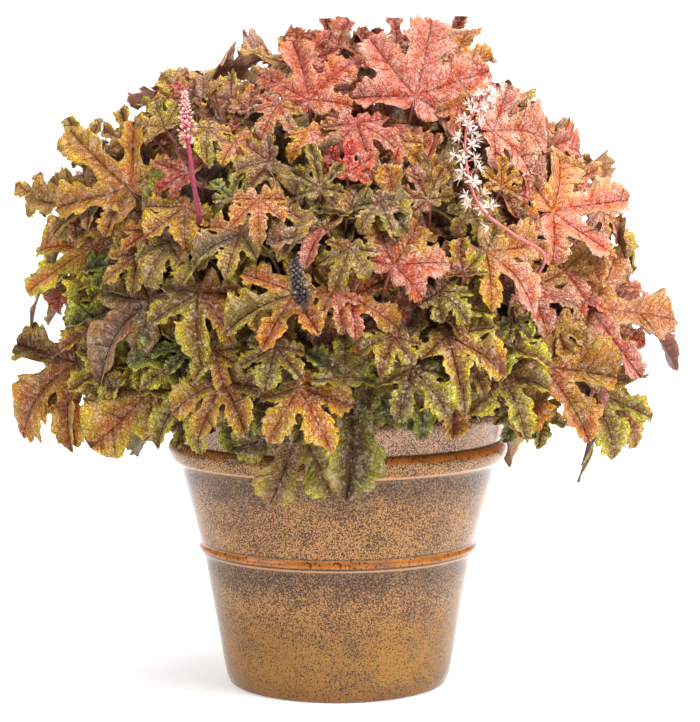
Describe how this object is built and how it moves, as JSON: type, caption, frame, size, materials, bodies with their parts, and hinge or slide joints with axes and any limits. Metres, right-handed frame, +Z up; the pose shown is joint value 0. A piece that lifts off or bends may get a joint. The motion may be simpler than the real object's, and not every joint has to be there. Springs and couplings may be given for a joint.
{
  "type": "potted heucherella",
  "caption": "Heucherella with lobed, toothed leaves in coral, bronze and lime and slender flower spikes, in a glazed round pot full of soil.",
  "frame": {"origin": "centre of the pot's flat underside, on the surface it stands on", "axes": "+Z up along the pot's axis; -Y towards the viewer of the picture; +X to the viewer's right"},
  "size_m": [0.4373, 0.4031, 0.4331],
  "materials": {
    "pot_glaze": "glossy brown and ochre glaze with dark speckles",
    "soil": "rough dark potting mix",
    "flower_pink": "matt pale pink buds on a magenta stalk",
    "flower_white": "matt white star florets on a pink-red stalk",
    "flower_dark": "matt dark buds",
    "leaf_coral": "softly shining coral and salmon leaves with darker veins",
    "leaf_bronze": "softly shining bronze and amber leaves with purple-brown midribs",
    "leaf_green": "softly shining olive and lime leaves with maroon veins"
  },
  "bodies": {
    "root": {"pot": "pot_glaze", "soil": "soil", "flower_spike_pink": "flower_pink", "flower_spike_white": "flower_white", "flower_spike_dark": "flower_dark", "leafy_stem_01": "leaf_coral", "leafy_stem_02": "leaf_coral", "leafy_stem_03": "leaf_coral", "leafy_stem_04": "leaf_coral", "leafy_stem_05": "leaf_bronze", "leafy_stem_06": "leaf_coral", "leafy_stem_07": "leaf_coral", "leafy_stem_08": "leaf_coral", "leafy_stem_09": "leaf_green", "leafy_stem_10": "leaf_green", "leafy_stem_11": "leaf_bronze", "leafy_stem_12": "leaf_bronze", "leafy_stem_13": "leaf_bronze", "leafy_stem_14": "leaf_coral", "leafy_stem_15": "leaf_green", "leafy_stem_16": "leaf_green", "leafy_stem_17": "leaf_green", "leafy_stem_18": "leaf_green", "leafy_stem_19": "leaf_bronze", "leafy_stem_20": "leaf_green", "leafy_stem_21": "leaf_green", "leafy_stem_22": "leaf_green"}
  },
  "joints": []
}
